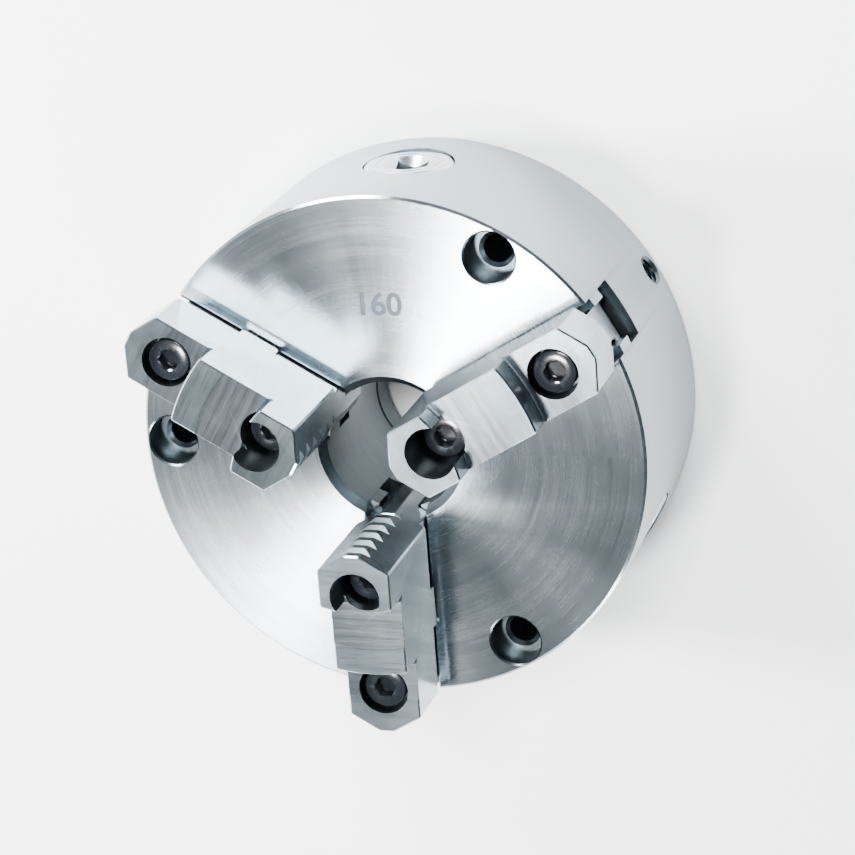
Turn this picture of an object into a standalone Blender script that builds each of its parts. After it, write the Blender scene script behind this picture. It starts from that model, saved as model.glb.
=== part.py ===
"""Three-jaw self-centring scroll chuck with two-piece jaws.

The chuck lies on its back: +Z is the spindle axis, pointing out of the face, and the origin is at the
centre of the rear face. Lengths are in metres. A jaw's own frame has X outward along its slot, Y across it.
"""
import math

import bmesh
import bpy
from mathutils import Matrix, Vector

MM = 0.001

# ---------------------------------------------------------------- clearances
JOINT_GAP = 0.3 * MM  # between faces that touch
SLIDE_GAP = 0.3 * MM  # above and below a sliding jaw
NECK_GAP = 0.9 * MM  # beside the jaw's neck, between the guide ribs
FLANGE_GAP = 0.7 * MM  # beside the jaw's lower flange
BORE_GAP = 0.3 * MM  # on the radius of a turning shaft
TOOTH_GAP = 0.35 * MM  # on each flank of a scroll tooth
SCREW_HOLE_GAP = 0.3 * MM  # on the radius of a screw
OVERCUT = 3 * MM  # how far a cutter runs past the face it opens
EMBED = 0.5 * MM  # how far a piece that is joined on reaches into the other

# ---------------------------------------------------------------- chuck body
BODY_RADIUS = 80 * MM
BODY_HEIGHT = 66 * MM
BODY_EDGE = 0.8 * MM
BORE_RADIUS = 21 * MM
BORE_CHAMFER = 2.4 * MM
HUB_WALL = 7 * MM
RIM_WALL = 15 * MM  # outside the spindle register
REGISTER_DEPTH = 5 * MM

# ---------------------------------------------------------------- jaw slots, depths from the face
JAW_COUNT = 3
FIRST_JAW_ANGLE = math.radians(210)
SLOT_MOUTH_WIDTH = 19.4 * MM
GUIDE_RIB_GAP = 13.6 * MM
SLOT_FLANGE_WIDTH = 19.2 * MM
GUIDE_RIB_DEPTH = 5 * MM
GUIDE_RIB_HEIGHT = 9 * MM
SLOT_DEPTH = 23.5 * MM

# ---------------------------------------------------------------- master jaws
MASTER_INSET = 0.5 * MM  # of its inner end behind the top jaw's
MASTER_END_INSET = 4.3 * MM  # of its outer end inside the body's rim
MASTER_RISE = 5 * MM  # of its top above the chuck's face
TONGUE_WIDTH = 7.94 * MM
TONGUE_HEIGHT = 2.2 * MM
CROSS_SLOT_DEPTH = 4 * MM

# ---------------------------------------------------------------- top jaws
JAW_WIDTH = 22.5 * MM
JAW_REACH = 3.3 * MM  # of its inner tip past the bore's edge
JAW_OVERHANG = 3.2 * MM  # of its outer tip past the body's rim
JAW_TIP_FLAT = 4.6 * MM
JAW_TIP_ANGLE = math.radians(60)  # of a tip's bevels, from the jaw's length
TOP_JAW_HEIGHT = 37.5 * MM
STEP_HEIGHT = 9 * MM
STEP_RADII = (36.4 * MM, 60 * MM)
SEAT_WIDTHS = (15.4 * MM, 12.6 * MM)
SEAT_DEPTH = 0.35 * MM
RELIEF_WIDTH = 1.1 * MM
RELIEF_DEPTH = 1.1 * MM
CROSS_KEY_WIDTH = 12.7 * MM
SERRATION_PITCH = 6 * MM
SERRATION_DEPTH = 1.5 * MM
SERRATION_SHARE = 0.62  # of the pitch that the notch takes
SERRATION_LEAN = 0.5 * MM  # how far the notch's upper face falls toward its root
SERRATION_COUNT = 6
FIRST_SERRATION = 3 * MM  # below the top of the jaw
EDGE_BREAK = 0.4 * MM

# ---------------------------------------------------------------- jaw screws (M8)
SCREW_SPACING = 38 * MM
SCREW_MIDDLE = 50.2 * MM
SCREW_SHANK_RADIUS = 4 * MM
SCREW_HEAD_RADIUS = 6.5 * MM
SCREW_HEAD_HEIGHT = 8 * MM
SCREW_KEY = 6 * MM
SCREW_KEY_DEPTH = 4 * MM
SCREW_REACH = 14 * MM  # into the master jaw
SCREW_EDGE = 0.6 * MM
COUNTERBORE_GAP = 1.3 * MM
HEAD_DEPTHS = (5.5 * MM, 2 * MM)  # of the head tops below the steps they stand in
TAP_RUNOUT = 2 * MM  # of a blind hole past its screw

# ---------------------------------------------------------------- scroll
SCROLL_INSET = 9 * MM  # of the scroll's rim inside the spindle register
SCROLL_THREAD_PITCH = 9 * MM
SCROLL_RIDGE = 3.9 * MM
SCROLL_RIDGE_HEIGHT = 4.2 * MM
SCROLL_LAND = 3 * MM  # between the hub and the first ridge
OUTER_TOOTH_INSET = 2.1 * MM  # of the first jaw's outermost tooth inside the jaw's end

# ---------------------------------------------------------------- bevel gears
GEAR_TEETH = 54
PINION_TEETH = 9
GEAR_FACE = 13 * MM  # the teeth's run along the radius
GEAR_RELIEF = 1 * MM  # between the teeth and the plate's back
TOOTH_ADDENDUM = 1.3 * MM
TOOTH_DEDENDUM = 1.7 * MM
TOOTH_BACKLASH = 0.5 * MM
TOOTH_FLANK = math.radians(20)
TOOTH_TIP_CUT = 1.2 * MM  # how far a tooth space is cut past the tips

# ---------------------------------------------------------------- pinions
PINION_ANGLE = math.radians(60)  # from a jaw to the next pinion
PINION_RADIUS = 14 * MM
PINION_RECESS = 0.6 * MM  # of its end inside the body's rim
PINION_EDGE = 1 * MM
PINION_SHOULDER_GAP = 2 * MM  # from the scroll's cavity to the pinion's wide part
PINION_TOE_GAP = 0.5 * MM  # from the gear's inner end to the pinion's teeth
PINION_JOURNAL_RADIUS = 3.5 * MM
PINION_JOURNAL_SHORT = 0.5 * MM  # of the journal's end inside the collar's hole
PINION_GROOVE_INSET = 8 * MM  # of its groove's middle inside the body's rim
PINION_GROOVE_WIDTH = 5 * MM
PINION_GROOVE_DEPTH = 2 * MM
KEY_SOCKET = 10 * MM
KEY_SOCKET_DEPTH = 13 * MM
KEY_COUNTERSINK = 2.9 * MM

# ---------------------------------------------------------------- pinion retaining screws
RETAINER_RADIUS = 3 * MM
RETAINER_POINT_RADIUS = 1.9 * MM
RETAINER_POINT_LENGTH = 3 * MM
RETAINER_RECESS = 1 * MM
RETAINER_KEY = 3 * MM
RETAINER_KEY_DEPTH = 3 * MM

# ---------------------------------------------------------------- rear cover
COVER_THICKNESS = 8.2 * MM
COLLAR_GAP = 3 * MM  # from the hub to the collar
COLLAR_WALL = 7.5 * MM
COLLAR_RISE = 5.5 * MM  # of the scroll's seat on the collar above the pinions' axes
COVER_SCREW_INSET = 4.8 * MM  # of its screws inside the register
COVER_SCREW_RADIUS = 2 * MM
COVER_SCREW_REACH = 10 * MM
COVER_HEAD_RADIUS = 3.5 * MM
COVER_HEAD_HEIGHT = 4 * MM
COVER_KEY = 3 * MM
COVER_KEY_DEPTH = 2.5 * MM

# ---------------------------------------------------------------- other holes in the body
MOUNT_INSET = 9 * MM  # of the mounting holes inside the body's rim
MOUNT_COUNTERBORE_RADIUS = 8 * MM
MOUNT_COUNTERBORE_DEPTH = 9 * MM
MOUNT_HOLE_RADIUS = 4.5 * MM
MOUNT_HOLE_CHAMFER = 1.2 * MM
LIFT_HOLE_RADIUS = 4.7 * MM
LIFT_HOLE_HEIGHT = 7 * MM
LIFT_HOLE_DEPTH = 12 * MM

# ---------------------------------------------------------------- fineness
BODY_STEPS = 72
INNER_STEPS = 60
PINION_STEPS = 32
HOLE_STEPS = 24
SMALL_STEPS = 16
SCROLL_STEPS = 54  # per turn of the thread
ARC_STEPS = 8
SHARP_ANGLE = math.radians(35)  # edges steeper than this stay sharp

# ---------------------------------------------------------------- derived radii
HUB_RADIUS = BORE_RADIUS + HUB_WALL
REGISTER_RADIUS = BODY_RADIUS - RIM_WALL
SCROLL_RADIUS = REGISTER_RADIUS - SCROLL_INSET
SCROLL_FIRST_RADIUS = HUB_RADIUS + SCROLL_LAND
GEAR_INNER = SCROLL_RADIUS - GEAR_FACE
CAVITY_RADIUS = SCROLL_RADIUS + 2 * BORE_GAP
COLLAR_INNER = HUB_RADIUS + COLLAR_GAP
COLLAR_OUTER = COLLAR_INNER + COLLAR_WALL
COVER_SCREW_CIRCLE = REGISTER_RADIUS - COVER_SCREW_INSET
MOUNT_CIRCLE = BODY_RADIUS - MOUNT_INSET
PINION_BORE_RADIUS = PINION_RADIUS + BORE_GAP
PINION_END = BODY_RADIUS - PINION_RECESS
PINION_SHOULDER = CAVITY_RADIUS + PINION_SHOULDER_GAP
PINION_JOURNAL_END = COLLAR_INNER + PINION_JOURNAL_SHORT
PINION_GROOVE_AT = BODY_RADIUS - PINION_GROOVE_INSET
JAW_INNER = BORE_RADIUS - JAW_REACH
JAW_OUTER = BODY_RADIUS + JAW_OVERHANG
MASTER_INNER = JAW_INNER + MASTER_INSET
MASTER_OUTER = BODY_RADIUS - MASTER_END_INSET
OUTER_TOOTH_RADIUS = MASTER_OUTER - OUTER_TOOTH_INSET
SCREW_PLACES = (SCREW_MIDDLE - SCREW_SPACING / 2, SCREW_MIDDLE + SCREW_SPACING / 2)
COUNTERBORE_RADIUS = SCREW_HEAD_RADIUS + COUNTERBORE_GAP

# ---------------------------------------------------------------- derived heights
COVER_BACK = REGISTER_DEPTH
COVER_FRONT = COVER_BACK + COVER_THICKNESS
CAVITY_BACK = COVER_FRONT + JOINT_GAP
PINION_HEIGHT = CAVITY_BACK + PINION_RADIUS
SCROLL_BACK = PINION_HEIGHT + COLLAR_RISE
SLOT_FLOOR = BODY_HEIGHT - SLOT_DEPTH
SCROLL_ROOT = SLOT_FLOOR
SCROLL_TOP = SCROLL_ROOT + SCROLL_RIDGE_HEIGHT
CAVITY_FRONT = SCROLL_TOP + SLIDE_GAP
TOOTH_TIP = SCROLL_ROOT + SLIDE_GAP
TOOTH_ROOT = SCROLL_TOP + SLIDE_GAP
GUIDE_RIB_TOP = BODY_HEIGHT - GUIDE_RIB_DEPTH
GUIDE_RIB_BOTTOM = GUIDE_RIB_TOP - GUIDE_RIB_HEIGHT
MASTER_TOP = BODY_HEIGHT + MASTER_RISE
CROSS_SLOT_FLOOR = MASTER_TOP - CROSS_SLOT_DEPTH
TOP_JAW_BASE = MASTER_TOP + JOINT_GAP
JAW_TOP = MASTER_TOP + TOP_JAW_HEIGHT
STEP_LEVELS = (JAW_TOP - STEP_HEIGHT, JAW_TOP - 2 * STEP_HEIGHT)
HEAD_TOPS = (STEP_LEVELS[0] - HEAD_DEPTHS[0], STEP_LEVELS[1] - HEAD_DEPTHS[1])

PITCH_SLOPE = PINION_TEETH / GEAR_TEETH  # of the pinion's pitch cone
PITCH_RADIUS = SCROLL_RADIUS * PITCH_SLOPE  # of the pinion at the gear's rim


def jaw_angle(index):
    return FIRST_JAW_ANGLE + index * 2 * math.pi / JAW_COUNT


def pinion_angle(index):
    return jaw_angle(index) + PINION_ANGLE


def mount_angle(index):
    return jaw_angle(index) + PINION_ANGLE / 2


# ---------------------------------------------------------------- scene helpers
def clear_scene():
    for item in list(bpy.data.objects):
        bpy.data.objects.remove(item, do_unlink=True)


def new_collection(name):
    made = bpy.data.collections.new(name)
    bpy.context.scene.collection.children.link(made)
    return made


def new_material(name, colour, roughness, metallic=1.0):
    made = bpy.data.materials.new(name)
    made.use_nodes = True
    shader = made.node_tree.nodes["Principled BSDF"]
    shader.inputs["Base Color"].default_value = (*colour, 1.0)
    shader.inputs["Roughness"].default_value = roughness
    shader.inputs["Metallic"].default_value = metallic
    return made


clear_scene()
PARTS = new_collection("Lathe_Chuck")
CUTTERS = new_collection("Cutters")
STEEL = {
    "turned": new_material("turned_steel", (0.62, 0.64, 0.66), 0.3),
    "ground": new_material("ground_steel", (0.66, 0.68, 0.70), 0.35),
    "scroll": new_material("scroll_steel", (0.50, 0.51, 0.53), 0.35),
    "cover": new_material("cover_steel", (0.55, 0.56, 0.57), 0.45),
    "pinion": new_material("pinion_steel", (0.48, 0.50, 0.52), 0.35),
    "black": new_material("black_oxide_steel", (0.03, 0.035, 0.04), 0.3),
}


def link(name, mesh, material=None):
    """A part when it has a material, otherwise a cutter."""
    made = bpy.data.objects.new(name, mesh)
    (PARTS if material else CUTTERS).objects.link(made)
    if material:
        mesh.materials.clear()
        mesh.materials.append(STEEL[material])
    else:
        made.hide_render = True
        made.display_type = "WIRE"
    return made


def mesh_from(name, work):
    mesh = bpy.data.meshes.new(name)
    bmesh.ops.recalc_face_normals(work, faces=work.faces[:])
    work.to_mesh(mesh)
    work.free()
    return mesh


def turned(name, profile, material=None, steps=HOLE_STEPS):
    """A closed profile of (radius, height) points, clockwise, turned about Z.

    It starts half a step round, so that no edge falls on the lines of the jaws, pinions and holes.
    """
    work = bmesh.new()
    start = math.pi / steps
    cosine, sine = math.cos(start), math.sin(start)
    points = [work.verts.new((radius * cosine, radius * sine, height)) for radius, height in profile]
    on_axis = profile[0][0] == 0 and profile[-1][0] == 0
    for a, b in zip(points, points[1:]):
        work.edges.new((a, b))
    if not on_axis:
        work.edges.new((points[-1], points[0]))
    mesh = bpy.data.meshes.new(name)
    work.to_mesh(mesh)
    work.free()
    made = link(name, mesh, material)
    screw = made.modifiers.new("turn", "SCREW")
    screw.axis = "Z"
    screw.steps = screw.render_steps = steps
    screw.use_merge_vertices = True
    screw.merge_threshold = 0.00001
    return made


def extruded(name, outline, low, high, material=None):
    """A flat outline of (x, y) points, anticlockwise, extruded along Z from low to high."""
    work = bmesh.new()
    face = work.faces.new([work.verts.new((x, y, low)) for x, y in outline])
    lifted = bmesh.ops.extrude_face_region(work, geom=[face])
    raised = [part for part in lifted["geom"] if isinstance(part, bmesh.types.BMVert)]
    bmesh.ops.translate(work, verts=raised, vec=(0, 0, high - low))
    return link(name, mesh_from(name, work), material)


def box(name, low, high, material=None):
    work = bmesh.new()
    bmesh.ops.create_cube(work, size=1)
    for vert in work.verts:
        vert.co = [a + (b - a) * (c + 0.5) for a, b, c in zip(low, high, vert.co)]
    return link(name, mesh_from(name, work), material)


def prism(name, corners, radius, low, high, turn=0.0):
    """A regular prism about Z: a hexagon for a screw's socket, a square for a key."""
    work = bmesh.new()
    bmesh.ops.create_cone(
        work, cap_ends=True, segments=corners, radius1=radius, radius2=radius, depth=high - low
    )
    spin = Matrix.Rotation(turn, 4, "Z")
    bmesh.ops.transform(work, matrix=Matrix.Translation((0, 0, (low + high) / 2)) @ spin, verts=work.verts)
    return link(name, mesh_from(name, work))


def bake(made):
    """Puts an object's modifiers and its placement into its mesh."""
    bpy.context.view_layer.update()
    seen = made.evaluated_get(bpy.context.evaluated_depsgraph_get())
    mesh = bpy.data.meshes.new_from_object(seen)
    mesh.transform(made.matrix_world)
    for old in list(made.modifiers):
        made.modifiers.remove(old)
    made.data = mesh
    made.matrix_world = Matrix()
    return made


def joined(name, pieces):
    """One object that holds the meshes of several pieces that don't meet."""
    work = bmesh.new()
    for piece in pieces:
        bake(piece)
        work.from_mesh(piece.data)
    for piece in pieces[1:]:
        bpy.data.objects.remove(piece, do_unlink=True)
    mesh = bpy.data.meshes.new(name)
    work.to_mesh(mesh)
    work.free()
    pieces[0].data = mesh
    pieces[0].name = name
    return pieces[0]


def combine(target, other, operation="DIFFERENCE"):
    step = target.modifiers.new(operation.lower(), "BOOLEAN")
    step.operation = operation
    step.solver = "EXACT"
    step.object = other
    return target


def cut(target, *cutters):
    for cutter in cutters:
        combine(target, cutter)
    return target


def place(made, matrix):
    made.matrix_world = matrix @ made.matrix_world
    return made


def about_z(angle):
    return Matrix.Rotation(angle, 4, "Z")


def along_radius(angle, height):
    """Turns a shape made about Z so that its Z runs outward at an angle, at a height above the rear face."""
    return about_z(angle) @ Matrix.Translation((0, 0, height)) @ Matrix.Rotation(math.pi / 2, 4, "Y")


def finish(made):
    """Bakes a part, so that its faces are final, and shades its round faces smooth."""
    bake(made)
    made.data.shade_smooth()
    made.data.set_sharp_from_angle(angle=SHARP_ANGLE)
    return made


def set_origin(made, point):
    """Moves a part's origin to a point on its joint's axis and leaves its faces where they are."""
    made.data.transform(Matrix.Translation(-Vector(point)))
    made.matrix_world = Matrix.Translation(point)


# a section drawn in X and Y: its length outward and its Y upward, or its length across and its Y upward
LAID_OUTWARD = Matrix(((0, 0, 1, 0), (1, 0, 0, 0), (0, 1, 0, 0), (0, 0, 0, 1)))
LAID_ACROSS = Matrix(((1, 0, 0, 0), (0, 0, -1, 0), (0, 1, 0, 0), (0, 0, 0, 1)))


# ---------------------------------------------------------------- shared outlines
def pointed_outline(inner, outer, width, flat, angle, pointed_outer=True):
    """A jaw's plan: 120 degree points with a small flat, at the inner end or at both."""
    run = (width - flat) / 2 / math.tan(angle)
    half, tip = width / 2, flat / 2
    outline = [(inner, tip), (inner, -tip), (inner + run, -half)]
    if pointed_outer:
        outline += [(outer - run, -half), (outer, -tip), (outer, tip), (outer - run, half)]
    else:
        outline += [(outer, -half), (outer, half)]
    return outline + [(inner + run, half)]


def groove_edge(across, radius, offset):
    """How far a scroll groove's edge lies from the groove's middle, at a distance across the jaw."""
    along = radius
    for _ in range(6):
        turn = math.atan2(across, along)
        reach = radius + offset + SCROLL_THREAD_PITCH * turn / (2 * math.pi)
        along = math.sqrt(reach**2 - across**2)
    return along - radius


def tooth_outline(middle):
    """A crescent that fits the scroll's groove wherever the jaw stands."""
    half_groove = (SCROLL_THREAD_PITCH - SCROLL_RIDGE) / 2
    half_width = SLOT_FLANGE_WIDTH / 2 - FLANGE_GAP
    radii = [SCROLL_FIRST_RADIUS + (SCROLL_RADIUS - SCROLL_FIRST_RADIUS) * i / 12 for i in range(13)]
    places = [half_width * (2 * i / ARC_STEPS - 1) for i in range(ARC_STEPS + 1)]
    outer = [min(groove_edge(y, r, half_groove) for r in radii) - TOOTH_GAP for y in places]
    inner = [max(groove_edge(y, r, -half_groove) for r in radii) + TOOTH_GAP for y in places]
    front = [(middle + x, y) for x, y in zip(outer, places)]
    back = [(middle + x, y) for x, y in zip(inner, places)]
    return front + back[::-1]


# ---------------------------------------------------------------- chuck body
def body_blank():
    rear, front = 0, BODY_HEIGHT
    lip = BODY_EDGE
    profile = [
        (BODY_RADIUS - lip, front),
        (BODY_RADIUS, front - lip),
        (BODY_RADIUS, rear + lip),
        (BODY_RADIUS - lip, rear),
        (REGISTER_RADIUS + lip, rear),
        (REGISTER_RADIUS, rear + lip),
        (REGISTER_RADIUS, CAVITY_BACK),
        (CAVITY_RADIUS, CAVITY_BACK),
        (CAVITY_RADIUS, CAVITY_FRONT),
        (HUB_RADIUS, CAVITY_FRONT),
        (HUB_RADIUS, COVER_BACK),
        (BORE_RADIUS, COVER_BACK),
        (BORE_RADIUS, front - BORE_CHAMFER),
        (BORE_RADIUS + BORE_CHAMFER, front),
    ]
    return turned("chuck_body", profile, "turned", BODY_STEPS)


def jaw_slot(index):
    mouth, ribs, flange = SLOT_MOUTH_WIDTH / 2, GUIDE_RIB_GAP / 2, SLOT_FLANGE_WIDTH / 2
    half = [
        (flange, SLOT_FLOOR),
        (flange, GUIDE_RIB_BOTTOM),
        (ribs, GUIDE_RIB_BOTTOM),
        (ribs, GUIDE_RIB_TOP),
        (mouth, GUIDE_RIB_TOP),
        (mouth, BODY_HEIGHT + OVERCUT),
    ]
    section = half + [(-y, z) for y, z in reversed(half)]
    made = extruded(f"jaw_slot_cutter_{index + 1}", section, BORE_RADIUS / 2, BODY_RADIUS + OVERCUT)
    return place(made, about_z(jaw_angle(index)) @ LAID_OUTWARD)


def pinion_bore(index):
    name = f"pinion_bore_cutter_{index + 1}"
    made = prism(name, PINION_STEPS, PINION_BORE_RADIUS, CAVITY_RADIUS - OVERCUT, BODY_RADIUS + OVERCUT)
    return place(made, along_radius(pinion_angle(index), PINION_HEIGHT))


def mount_hole(index):
    shoulder = BODY_HEIGHT - MOUNT_COUNTERBORE_DEPTH
    profile = [
        (0, BODY_HEIGHT + OVERCUT),
        (MOUNT_COUNTERBORE_RADIUS, BODY_HEIGHT + OVERCUT),
        (MOUNT_COUNTERBORE_RADIUS, shoulder),
        (MOUNT_HOLE_RADIUS + MOUNT_HOLE_CHAMFER, shoulder),
        (MOUNT_HOLE_RADIUS, shoulder - MOUNT_HOLE_CHAMFER),
        (MOUNT_HOLE_RADIUS, -OVERCUT),
        (0, -OVERCUT),
    ]
    made = turned(f"mount_hole_cutter_{index + 1}", profile)
    return place(made, about_z(mount_angle(index)) @ Matrix.Translation((MOUNT_CIRCLE, 0, 0)))


def retainer_hole(index):
    radius = RETAINER_RADIUS + SCREW_HOLE_GAP
    top = PINION_HEIGHT - PINION_BORE_RADIUS / 2
    made = prism(f"retainer_hole_cutter_{index + 1}", SMALL_STEPS, radius, -OVERCUT, top)
    return place(made, about_z(pinion_angle(index)) @ Matrix.Translation((PINION_GROOVE_AT, 0, 0)))


def cover_screw_hole(index):
    radius = COVER_SCREW_RADIUS + SCREW_HOLE_GAP
    top = COVER_BACK + COVER_HEAD_HEIGHT + COVER_SCREW_REACH + TAP_RUNOUT
    made = prism(f"cover_screw_hole_cutter_{index + 1}", SMALL_STEPS, radius, CAVITY_BACK - OVERCUT, top)
    return place(made, about_z(jaw_angle(index)) @ Matrix.Translation((COVER_SCREW_CIRCLE, 0, 0)))


def lift_hole():
    low, high = BODY_RADIUS - LIFT_HOLE_DEPTH, BODY_RADIUS + OVERCUT
    made = prism("lift_hole_cutter", HOLE_STEPS, LIFT_HOLE_RADIUS, low, high)
    return place(made, along_radius(jaw_angle(0), LIFT_HOLE_HEIGHT))


def chuck_body():
    made = body_blank()
    for index in range(JAW_COUNT):
        cut(made, jaw_slot(index), pinion_bore(index), mount_hole(index))
        cut(made, retainer_hole(index), cover_screw_hole(index))
    cut(made, lift_hole())
    return finish(made)


# ---------------------------------------------------------------- scroll plate
def gear_height(radius, offset):
    """Height of the bevel gear's cone, offset from its pitch cone by an amount stated at its outer edge."""
    return PINION_HEIGHT + radius * (PITCH_SLOPE + offset / SCROLL_RADIUS)


def scroll_blank():
    bore = HUB_RADIUS + BORE_GAP
    profile = [
        (SCROLL_RADIUS, SCROLL_ROOT),
        (SCROLL_RADIUS, gear_height(SCROLL_RADIUS, -TOOTH_ADDENDUM)),
        (GEAR_INNER, gear_height(GEAR_INNER, -TOOTH_ADDENDUM)),
        (GEAR_INNER - GEAR_RELIEF, SCROLL_BACK),
        (bore, SCROLL_BACK),
        (bore, SCROLL_ROOT),
    ]
    return turned("scroll_plate", profile, "scroll", INNER_STEPS)


def scroll_ridge_radius(turn):
    """Middle of the ridge at an angle about Z that may pass a full turn."""
    first_groove = OUTER_TOOTH_RADIUS - SCROLL_THREAD_PITCH * (jaw_angle(0) / (2 * math.pi) + 0.5)
    return first_groove + SCROLL_THREAD_PITCH * turn / (2 * math.pi)


def scroll_ridge():
    """The spiral thread: a strip that stands on the plate, thickened to the ridge's width."""
    step = 2 * math.pi / SCROLL_STEPS
    inner = SCROLL_FIRST_RADIUS + SCROLL_RIDGE / 2
    outer = SCROLL_RADIUS - SCROLL_RIDGE / 2
    start = (inner - scroll_ridge_radius(0)) * 2 * math.pi / SCROLL_THREAD_PITCH
    count = int((outer - inner) * SCROLL_STEPS / SCROLL_THREAD_PITCH)
    work = bmesh.new()
    rows = []
    for i in range(count + 1):
        turn = start + i * step
        radius = scroll_ridge_radius(turn)
        x, y = radius * math.cos(turn), radius * math.sin(turn)
        rows.append([work.verts.new((x, y, z)) for z in (SCROLL_ROOT - EMBED, SCROLL_TOP)])
    for (a, b), (c, d) in zip(rows, rows[1:]):
        work.faces.new((a, c, d, b))
    mesh = bpy.data.meshes.new("scroll_ridge")
    work.to_mesh(mesh)
    work.free()
    made = link("scroll_ridge", mesh)
    thick = made.modifiers.new("thickness", "SOLIDIFY")
    thick.thickness = SCROLL_RIDGE
    thick.offset = 0
    return made


def tapered_bar(name, half_widths, heights, near, far):
    """A bar toward +X whose section grows with its distance from the gears' common apex."""
    work = bmesh.new()
    bmesh.ops.create_cube(work, size=1)
    for vert in work.verts:
        x = far if vert.co.x > 0 else near
        scale = x / SCROLL_RADIUS
        level = 1 if vert.co.z > 0 else 0
        side = 1 if vert.co.y > 0 else -1
        vert.co = (x, side * half_widths[level] * scale, heights[level] * scale)
    return link(name, mesh_from(name, work))


def groove_widths():
    """Half widths of a tooth space at its open side, past the tips, and at its root."""
    spacing = 2 * math.pi * SCROLL_RADIUS / GEAR_TEETH
    half = (spacing / 2 + TOOTH_BACKLASH) / 2
    slope = math.tan(TOOTH_FLANK)
    return half + slope * (TOOTH_ADDENDUM + TOOTH_TIP_CUT), half - slope * TOOTH_DEDENDUM


def gear_grooves():
    widths = groove_widths()
    heights = (PITCH_RADIUS - TOOTH_ADDENDUM - TOOTH_TIP_CUT, PITCH_RADIUS + TOOTH_DEDENDUM)
    bars = []
    for index in range(GEAR_TEETH):
        bar = tapered_bar(f"gear_groove_{index}", widths, heights, GEAR_INNER, SCROLL_RADIUS + OVERCUT)
        angle = pinion_angle(0) + index * 2 * math.pi / GEAR_TEETH
        bars.append(place(bar, Matrix.Translation((0, 0, PINION_HEIGHT)) @ about_z(angle)))
    return joined("gear_groove_cutter", bars)


def scroll_plate():
    made = scroll_blank()
    combine(made, scroll_ridge(), "UNION")
    cut(made, gear_grooves())
    finish(made)
    set_origin(made, (0, 0, SCROLL_ROOT))
    return made


# ---------------------------------------------------------------- pinions
def pinion_blank(index):
    """Made about Z, which becomes the chuck's radius: Z is the distance from the spindle axis."""
    tip = PITCH_SLOPE + TOOTH_ADDENDUM / SCROLL_RADIUS
    gear_end = SCROLL_RADIUS + BORE_GAP
    gear_start = GEAR_INNER + PINION_TOE_GAP
    groove = PINION_RADIUS - PINION_GROOVE_DEPTH
    low, high = PINION_GROOVE_AT - PINION_GROOVE_WIDTH / 2, PINION_GROOVE_AT + PINION_GROOVE_WIDTH / 2
    profile = [
        (0, PINION_END),
        (PINION_RADIUS - PINION_EDGE, PINION_END),
        (PINION_RADIUS, PINION_END - PINION_EDGE),
        (PINION_RADIUS, high),
        (groove, high),
        (groove, low),
        (PINION_RADIUS, low),
        (PINION_RADIUS, PINION_SHOULDER),
        (gear_end * tip, PINION_SHOULDER),
        (gear_end * tip, gear_end),
        (gear_start * tip, gear_start),
        (PINION_JOURNAL_RADIUS, gear_start),
        (PINION_JOURNAL_RADIUS, PINION_JOURNAL_END),
        (0, PINION_JOURNAL_END),
    ]
    return turned(f"key_pinion_{index + 1}", profile, "pinion", PINION_STEPS)


def pinion_grooves(index):
    """Spaces between the pinion's teeth; one tooth points straight at the scroll."""
    widths = groove_widths()[::-1]
    heights = (PITCH_RADIUS - TOOTH_DEDENDUM, PITCH_RADIUS + TOOTH_ADDENDUM + TOOTH_TIP_CUT)
    lay = Matrix.Rotation(-math.pi / 2, 4, "Y")  # the bar's length becomes Z, its depth -X
    bars = []
    for tooth in range(PINION_TEETH):
        name = f"pinion_groove_{index + 1}_{tooth}"
        bar = tapered_bar(name, widths, heights, GEAR_INNER - OVERCUT, PINION_SHOULDER)
        turn = (tooth + 0.5) * 2 * math.pi / PINION_TEETH
        bars.append(place(bar, about_z(turn) @ lay))
    return joined(f"pinion_groove_cutter_{index + 1}", bars)


def key_socket(index):
    base = PINION_END - KEY_SOCKET_DEPTH
    name = f"key_socket_cutter_{index + 1}"
    corner = KEY_SOCKET / math.sqrt(2)
    square = prism(name, 4, corner, base, PINION_END + OVERCUT, math.radians(45))
    flare = [
        (0, PINION_END + OVERCUT),
        (KEY_SOCKET / 2 + KEY_COUNTERSINK + OVERCUT, PINION_END + OVERCUT),
        (KEY_SOCKET / 2, PINION_END - KEY_COUNTERSINK),
        (0, PINION_END - KEY_COUNTERSINK),
    ]
    return square, turned(f"key_countersink_cutter_{index + 1}", flare)


def key_pinion(index):
    made = pinion_blank(index)
    cut(made, pinion_grooves(index), *key_socket(index))
    bake(made)
    place(made, along_radius(pinion_angle(index), PINION_HEIGHT))
    finish(made)
    angle = pinion_angle(index)
    middle = (PINION_SHOULDER + PINION_END) / 2
    set_origin(made, (middle * math.cos(angle), middle * math.sin(angle), PINION_HEIGHT))
    return made


def pinion_retainer(index):
    """A dog-point set screw from the rear face; its point runs in the pinion's groove."""
    low = RETAINER_RECESS
    groove_floor = PINION_HEIGHT - PINION_RADIUS + PINION_GROOVE_DEPTH
    high = groove_floor - JOINT_GAP
    shoulder = high - RETAINER_POINT_LENGTH
    name = f"pinion_retainer_{index + 1}"
    profile = [
        (0, high),
        (RETAINER_POINT_RADIUS, high),
        (RETAINER_POINT_RADIUS, shoulder),
        (RETAINER_RADIUS, shoulder - SCREW_EDGE),
        (RETAINER_RADIUS, low),
        (0, low),
    ]
    made = turned(name, profile, "black", SMALL_STEPS)
    corner = RETAINER_KEY / math.sqrt(3)
    cut(made, prism(f"{name}_socket_cutter", 6, corner, low - OVERCUT, low + RETAINER_KEY_DEPTH))
    place(bake(made), about_z(pinion_angle(index)) @ Matrix.Translation((PINION_GROOVE_AT, 0, 0)))
    return finish(made)


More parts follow.
